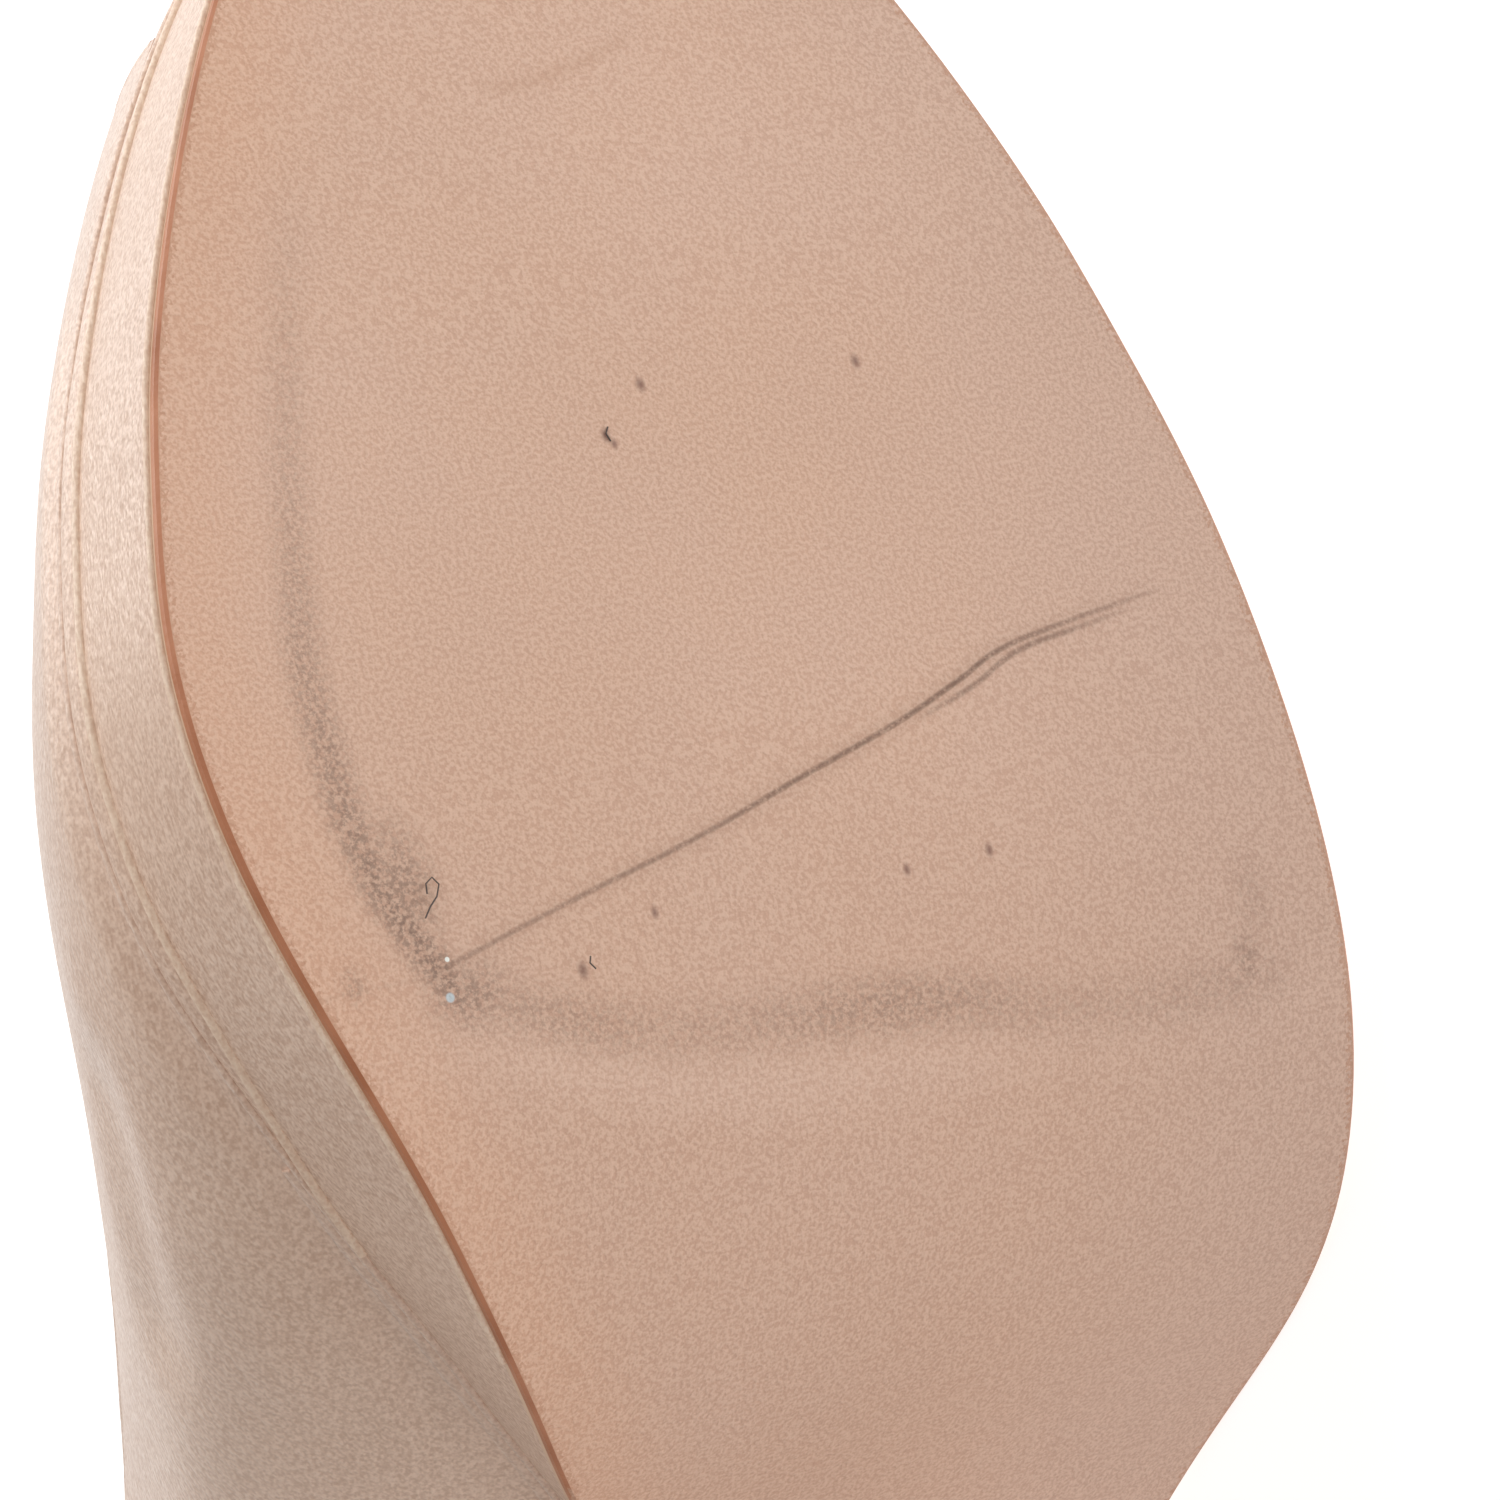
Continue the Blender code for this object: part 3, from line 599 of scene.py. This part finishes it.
def split_wide_faces(piece, longest, cuts):
    """Cuts the edges that cross the sole into short ones, so that its wide faces become a grid."""
    places = vertex_table(piece)[0]
    edit(
        piece,
        lambda: bpy.ops.mesh.select_mode(type="EDGE"),
        lambda: bpy.ops.mesh.select_all(action="DESELECT"),
    )
    for edge in piece.data.edges:
        first, second = (places[i] for i in edge.vertices)
        run = np.abs(first - second)
        edge.select = bool(run[0] > longest and run[0] > run[1] and run[0] > run[2])
    edit(piece, lambda: bpy.ops.mesh.subdivide(number_cuts=cuts))


def line_distance(places, line):
    """Distance of each place from a line of points, and how far along the line it is, from 0 to 1."""
    line = np.array(line, float)
    lengths = np.linalg.norm(np.diff(line, axis=0), axis=1)
    starts = np.concatenate([[0], np.cumsum(lengths)])
    nearest = np.full(len(places), 1e9)
    along = np.zeros(len(places))
    for first, second, start, length in zip(line, line[1:], starts, lengths):
        step = second - first
        share = np.clip((places - first) @ step / (step @ step), 0, 1)
        away = np.linalg.norm(places - first - share[:, None] * step, axis=1)
        closer = away < nearest
        nearest[closer] = away[closer]
        along[closer] = (start + share[closer] * length) / starts[-1]
    return nearest, along


def foot_side(places, normals):
    """True for the vertices that face the foot."""
    foot = np.array(FOOT, float)
    middle = np.column_stack([np.interp(places[:, 1], foot[:, 1], foot[:, i]) for i in (0, 1, 2)])
    middle[:, 1] = places[:, 1]
    return np.einsum("ij,ij->i", normals, places - middle) < 0


def press(piece, line, depth, width, ends=0.2):
    """Soft trough along a line on the outside, or a ridge where depth is negative."""
    places, normals = vertex_table(piece)
    away, along = line_distance(places, line)
    fall = np.clip(1 - away / width, 0, 1)
    fall = fall * fall * (3 - 2 * fall)
    fade = np.clip(np.minimum(along, 1 - along) / ends, 0, 1)
    push = depth * fall * fade * ~foot_side(places, normals)
    place_vertices(piece, places - normals * push[:, None])


def tube(name, lines, radius, material, closed=False):
    """Round strip along lines of points in the shoe's millimetres."""
    data = bpy.data.curves.new(name, "CURVE")
    data.dimensions = "3D"
    data.bevel_depth = radius * MM
    data.bevel_resolution = 3
    data.use_fill_caps = True
    for line in lines:
        spline = data.splines.new("POLY")
        spline.points.add(len(line) - 1)
        for point, place in zip(spline.points, lying_points(line)):
            point.co = (*place, 1)
        spline.use_cyclic_u = closed
    piece = bpy.data.objects.new(name, data)
    bpy.context.scene.collection.objects.link(piece)
    choose(piece)
    bpy.ops.object.convert(target="MESH")
    piece = bpy.context.view_layer.objects.active
    piece.data.materials.clear()
    piece.data.materials.append(material)
    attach(piece, "root")
    shade(piece, 60)
    return piece


def rims(piece):
    """Closed lines of points, in the shoe's millimetres, along the middle of the shell's open rims."""
    choose_sharp(piece, FIRM_TURN)
    mesh = piece.data
    places = vertex_table(piece)[0]
    sharp = {tuple(sorted(edge.vertices)) for edge in mesh.edges if edge.select}
    across = {}
    for face in mesh.polygons:
        keys = [tuple(sorted(key)) for key in face.edge_keys]
        if len(keys) == 4 and sum(key in sharp for key in keys) == 2:
            open_keys = [key for key in keys if key not in sharp]
            if not set(open_keys[0]) & set(open_keys[1]):
                for key, other in (open_keys, open_keys[::-1]):
                    across.setdefault(key, []).append(other)
    lines = []
    while across:
        start = min(across)
        line, key, last = [], start, None
        while key in across:
            line.append((places[key[0]] + places[key[1]]) / 2)
            onward = [other for other in across.pop(key) if other != last and other in across]
            last = key
            key = onward[0] if onward else None
        if len(line) > 8:
            lines.append(np.array(line))
    return lines


def edge_lines(piece, wanted):
    """Lines of points, in the shoe's millimetres, along a piece's wanted edges, the longest first."""
    places = vertex_table(piece)[0]
    turn = TO_SHOE.to_3x3()
    mesh = bmesh.new()
    mesh.from_mesh(piece.data)
    links = {}
    for edge in mesh.edges:
        if len(edge.link_faces) == 2 and wanted(edge, [turn @ face.normal for face in edge.link_faces]):
            first, second = (vertex.index for vertex in edge.verts)
            links.setdefault(first, []).append(second)
            links.setdefault(second, []).append(first)
    mesh.free()
    lines = []
    for start in sorted(links, key=lambda i: (len(links[i]) != 1, i)):
        line, i = [], start
        while i in links:
            line.append(places[i])
            onward = [j for j in links.pop(i) if j in links]
            i = onward[0] if onward else None
        if len(line) > 3:
            lines.append(np.array(line))
    return sorted(lines, key=len, reverse=True)


def rounded_line(line, closed):
    """The same line with a point between each two and its corners eased."""
    start, end = (line[-2:], line[:2]) if closed else (line[[0, 0]], line[[-1, -1]])
    pad = np.vstack([start, line, end])
    rows = []
    for a, b, c, d in zip(pad, pad[1:], pad[2:], pad[3:]):
        rows.append(b)
        rows.append((9 * (b + c) - a - d) / 16)
    return np.array(rows[2:] if closed else rows[2:-1])


def store_distance(piece, name, places, chosen):
    """Keeps each vertex's distance to the nearest chosen one, in millimetres, as an attribute."""
    tree = KDTree(len(chosen))
    for i in sorted(chosen):
        tree.insert(Vector(places[i]), i)
    tree.balance()
    kept = piece.data.attributes.new(name, "FLOAT", "POINT")
    kept.data.foreach_set("value", [tree.find(Vector(place))[2] for place in places])


def build_sole():
    """The outsole with its tread and painted edge, and the line where the cover meets it."""
    sole = clean_copy("outsole", "sole_leather")
    seam = edge_lines(sole, lambda edge, faces: edge.calc_face_angle() > 0.9 and max(f.z for f in faces) > 0.6
                      and min(abs(f.z) for f in faces) < 0.3)[0]
    split_wide_faces(sole, 9, 15)
    hold_edges(sole, 30)
    subdivide(sole, 2)
    sole.data.materials.append(tread_leather())
    sole.data.materials.append(edge_paint())
    places = vertex_table(sole)[0]
    for face in sole.data.polygons:
        faces = TO_SHOE.to_3x3() @ face.normal
        at_toe = places[face.vertices[0]][1] > 150 and faces.y > 0.6
        face.material_index = int(abs(faces.x) > 0.5 or at_toe)
    edge = {i for face in sole.data.polygons if face.material_index for i in face.vertices}
    store_distance(sole, "rim_mm", places, edge)
    under = {i for face in sole.data.polygons if not face.material_index
             and (TO_SHOE.to_3x3() @ face.normal).z < -0.3 for i in face.vertices}
    store_distance(sole, "edge_mm", places, under)
    shade(sole)
    return sole, seam


def build_platform(cover):
    """The covered platform, the line of its fold and the line where the upper meets it."""
    platform = clean_copy("platform", "platform_cover")
    fold = edge_lines(platform, lambda edge, faces: edge.calc_face_angle_signed() < -0.15)[0]
    foot = edge_lines(platform, lambda edge, faces: edge.calc_face_angle() > 0.9
                      and max(f.z for f in faces) > 0.6 and min(f.z for f in faces) < 0.5)[0]
    hold_edges(platform, 55)
    subdivide(platform, 2)
    press(platform, WELT_ROLL, -0.25, 1.8)
    platform.data.materials.append(cover)
    shade(platform, 60)
    return platform, fold, foot


def build_upper(cloth, lining):
    """The upper, and its open rims: round the toes, underneath and at the collar."""
    upper = clean_copy("upper", "upper_satin")
    toe_rim, lower_rim, collar = sorted(rims(upper), key=lambda line: line[:, 2].mean())
    hold_edges(upper, FIRM_TURN)
    subdivide(upper, 2)
    for line, depth, width in UPPER_CREASES:
        press(upper, line, depth, width)
    upper.data.materials.append(cloth)
    upper.data.materials.append(lining)
    places, normals = vertex_table(upper)
    inside = foot_side(places, normals)
    for face in upper.data.polygons:
        face.material_index = int(sum(inside[i] for i in face.vertices) * 2 > len(face.vertices))
    shade(upper, 60)
    return upper, toe_rim, lower_rim, collar


def back_line(piece):
    """Line down the middle of a piece's back, in the shoe's millimetres."""
    places, normals = vertex_table(piece)
    middle = (np.abs(places[:, 0]) < 0.05) & (normals[:, 1] < -0.25) & (places[:, 1] < 30)
    line = places[middle] - 0.15 * normals[middle]
    return line[np.argsort(line[:, 2])]


def shank_lines(rim):
    """The two parts of the upper's lower rim between the heel and the platform, inner and outer."""
    low, high = SHANK
    parts = []
    for side in (1, -1):
        part = rim[(rim[:, 0] * side > 2) & (rim[:, 1] > low) & (rim[:, 1] < high)]
        parts.append(part[np.argsort(part[:, 1])])
    return parts


def build_stitches(upper, collar, thread):
    """Stitches in the lining under the collar's binding: one is modelled and copied along."""
    places = vertex_table(upper)[0]
    faces = [list(face.vertices) for face in upper.data.polygons if face.material_index]
    lining = BVHTree.FromPolygons([Vector(place) for place in places], faces)
    bpy.ops.object.select_all(action="DESELECT")
    bpy.ops.mesh.primitive_uv_sphere_add(segments=6, ring_count=5, radius=1)
    stitch = bpy.context.active_object
    stitch.scale = Vector(STITCH_HALF) * MM
    bpy.ops.object.transform_apply(location=False, rotation=False, scale=True)
    stitch.data.materials.append(thread)
    line = rounded_line(collar, True)
    line = np.vstack([line, line[:1]])
    run = np.concatenate([[0], np.cumsum(np.linalg.norm(np.diff(line, axis=0), axis=1))])
    foot = np.array(FOOT, float)
    row = []
    for at in np.arange(0, run[-1] - STITCH_STEP / 2, STITCH_STEP):
        point = np.array([np.interp(at, run, line[:, i]) for i in range(3)])
        ahead = np.array([np.interp((at + 1) % run[-1], run, line[:, i]) for i in range(3)])
        axis = np.array([np.interp(point[1], foot[:, 1], foot[:, i]) for i in range(3)])
        inward = (axis - point) / np.linalg.norm(axis - point)
        spot, normal = lining.find_nearest(Vector(point + STITCH_INSET * inward))[:2]
        along = Vector(ahead - point)
        along = (along - normal * along.dot(normal)).normalized()
        turn = Matrix((along.cross(normal), normal, along)).transposed().to_4x4()
        copy = stitch.copy()
        copy.data = stitch.data.copy()
        place = SHOE @ Matrix.Translation(spot * MM) @ turn
        copy.data.transform(place)
        bpy.context.scene.collection.objects.link(copy)
        row.append(copy)
    choose(*row)
    bpy.ops.object.join()
    stitches = bpy.context.view_layer.objects.active
    bpy.data.objects.remove(stitch)
    stitches.name = "collar_stitches"
    stitches.data.name = "collar_stitches"
    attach(stitches, "root")
    shade(stitches, 60)
    return stitches


def build_heel(cloth):
    heel = clean_copy("heel", "heel_cover")
    hold_edges(heel, FIRM_TURN)
    subdivide(heel, 2)
    heel.data.materials.append(cloth)
    shade(heel, 50)
    return heel


def build_lift():
    lift = clean_copy("top_lift", "heel_lift")
    choose_sharp(lift, FIRM_TURN, lambda: bpy.ops.mesh.bevel(offset=0.3 * MM, segments=2))
    lift.data.materials.append(lift_rubber())
    shade(lift)
    return lift


def build_sock(leather):
    sock = clean_copy("insole", "sock")
    split_wide_faces(sock, 9, 7)
    hold_edges(sock, 30)
    subdivide(sock, 2)
    sock.data.materials.append(leather)
    shade(sock)
    return sock


def build_studio():
    """Pale floor, soft lights, and the camera where the photograph was taken."""
    bpy.ops.object.select_all(action="DESELECT")
    bpy.ops.mesh.primitive_plane_add(size=6.0, location=(0, 0, 0))
    floor = bpy.context.active_object
    floor.name = "studio_floor"
    white = bpy.data.materials.new("studio_white")
    white.use_nodes = True
    shader = white.node_tree.nodes["Principled BSDF"]
    shader.inputs["Base Color"].default_value = (0.5, 0.5, 0.5, 1)
    shader.inputs["Roughness"].default_value = 0.9
    shader.inputs["Emission Color"].default_value = (1, 1, 1, 1)
    shader.inputs["Emission Strength"].default_value = FLOOR_GLOW
    floor.data.materials.append(white)

    world = bpy.data.worlds.new("studio_air")
    bpy.context.scene.world = world
    world.use_nodes = True
    air = world.node_tree.nodes["Background"].inputs
    air["Color"].default_value = (1, 1, 1, 1)
    air["Strength"].default_value = AIR_GLOW

    for name, place, size, power in LIGHTS:
        data = bpy.data.lights.new(name, "AREA")
        data.shape = "SQUARE"
        data.size = size
        data.energy = power
        light = bpy.data.objects.new(name, data)
        light.location = place
        aim = Vector((0, 0, 0.05)) - Vector(place)
        light.rotation_euler = aim.to_track_quat("-Z", "Y").to_euler()
        bpy.context.scene.collection.objects.link(light)

    turn = SHOE.to_3x3()
    sight = turn @ SIGHT.normalized()
    top = turn @ PICTURE_UP.normalized()
    right = sight.cross(top).normalized()
    sight = (sight - PICTURE_ASIDE * right + PICTURE_RAISE * top).normalized()
    right = sight.cross(top).normalized()
    top = right.cross(sight)
    camera = bpy.data.objects.new("camera", bpy.data.cameras.new("camera"))
    camera.data.lens = LENS
    camera.data.sensor_width = 36
    camera.data.clip_start = 0.01
    facing = Matrix((right, top, -sight)).transposed().to_4x4()
    camera.matrix_world = Matrix.Translation(SHOE @ EYE) @ facing
    bpy.context.scene.collection.objects.link(camera)
    bpy.context.scene.camera = camera
    bpy.context.scene.view_settings.view_transform = "Standard"


def main():
    build_studio()
    cover = satin("platform_satin", (240, 210, 188), (200, 164, 140), Specular_IOR_Level=0.7)
    cloth = satin("upper_satin_cloth", (240, 210, 188), (204, 168, 144), Specular_IOR_Level=0.7,
                  Sheen_Weight=0.3)
    # The piping's satin is the cover's satin painted lighter: a painted highlight along the platform's fold
    # and the sole seam, against the shade in their gaps
    piping_painted_highlight = satin("piping_satin_painted_highlight", (246, 220, 196), (222, 188, 162))
    lining = sock_leather("lining_leather", (224, 202, 182), (206, 182, 160))
    sole, seam = build_sole()
    platform, fold, foot = build_platform(cover)
    upper, toe_rim, lower_rim, collar = build_upper(cloth, lining)
    heel = build_heel(cloth)
    build_lift()
    build_sock(sock_leather("sock_leather", (212, 188, 166), (196, 168, 146)))
    tube("platform_piping", [rounded_line(fold, False)], FOLD_PIPING, piping_painted_highlight)
    foot = rounded_line(foot, False)
    above_floor = [place[2] > FOOT_PIPING * MM for place in lying_points(foot)]
    tube("upper_piping", [foot[above_floor]], FOOT_PIPING, cloth)
    tube("sole_seam", [rounded_line(seam, False)], SOLE_SEAM, piping_painted_highlight)
    lint = new_material("lint", 0.8, Base_Color=tone(238, 228, 218))[0]
    tube("lint_hairs", HAIRS, HAIR, lint)
    fibre = new_material("fibre", 0.8, Base_Color=tone(92, 80, 74))[0]
    tube("tread_fibre", FIBRES, FIBRE, fibre)
    tube("collar_binding", [rounded_line(collar, True)], COLLAR_BINDING, cloth, closed=True)
    tube("peep_binding", [rounded_line(toe_rim, False)], PEEP_BINDING, cloth)
    tucked = [rounded_line(part, False) for part in shank_lines(lower_rim)]
    tube("shank_tuck", tucked, SHANK_TUCK, cloth)
    tube("back_seam", [back_line(upper)], BACK_SEAM, cloth)
    tube("heel_seam", [back_line(heel)], HEEL_SEAM, cloth)
    thread = sock_leather("thread", (236, 220, 200), (214, 192, 168))
    build_stitches(upper, collar, thread)


main()
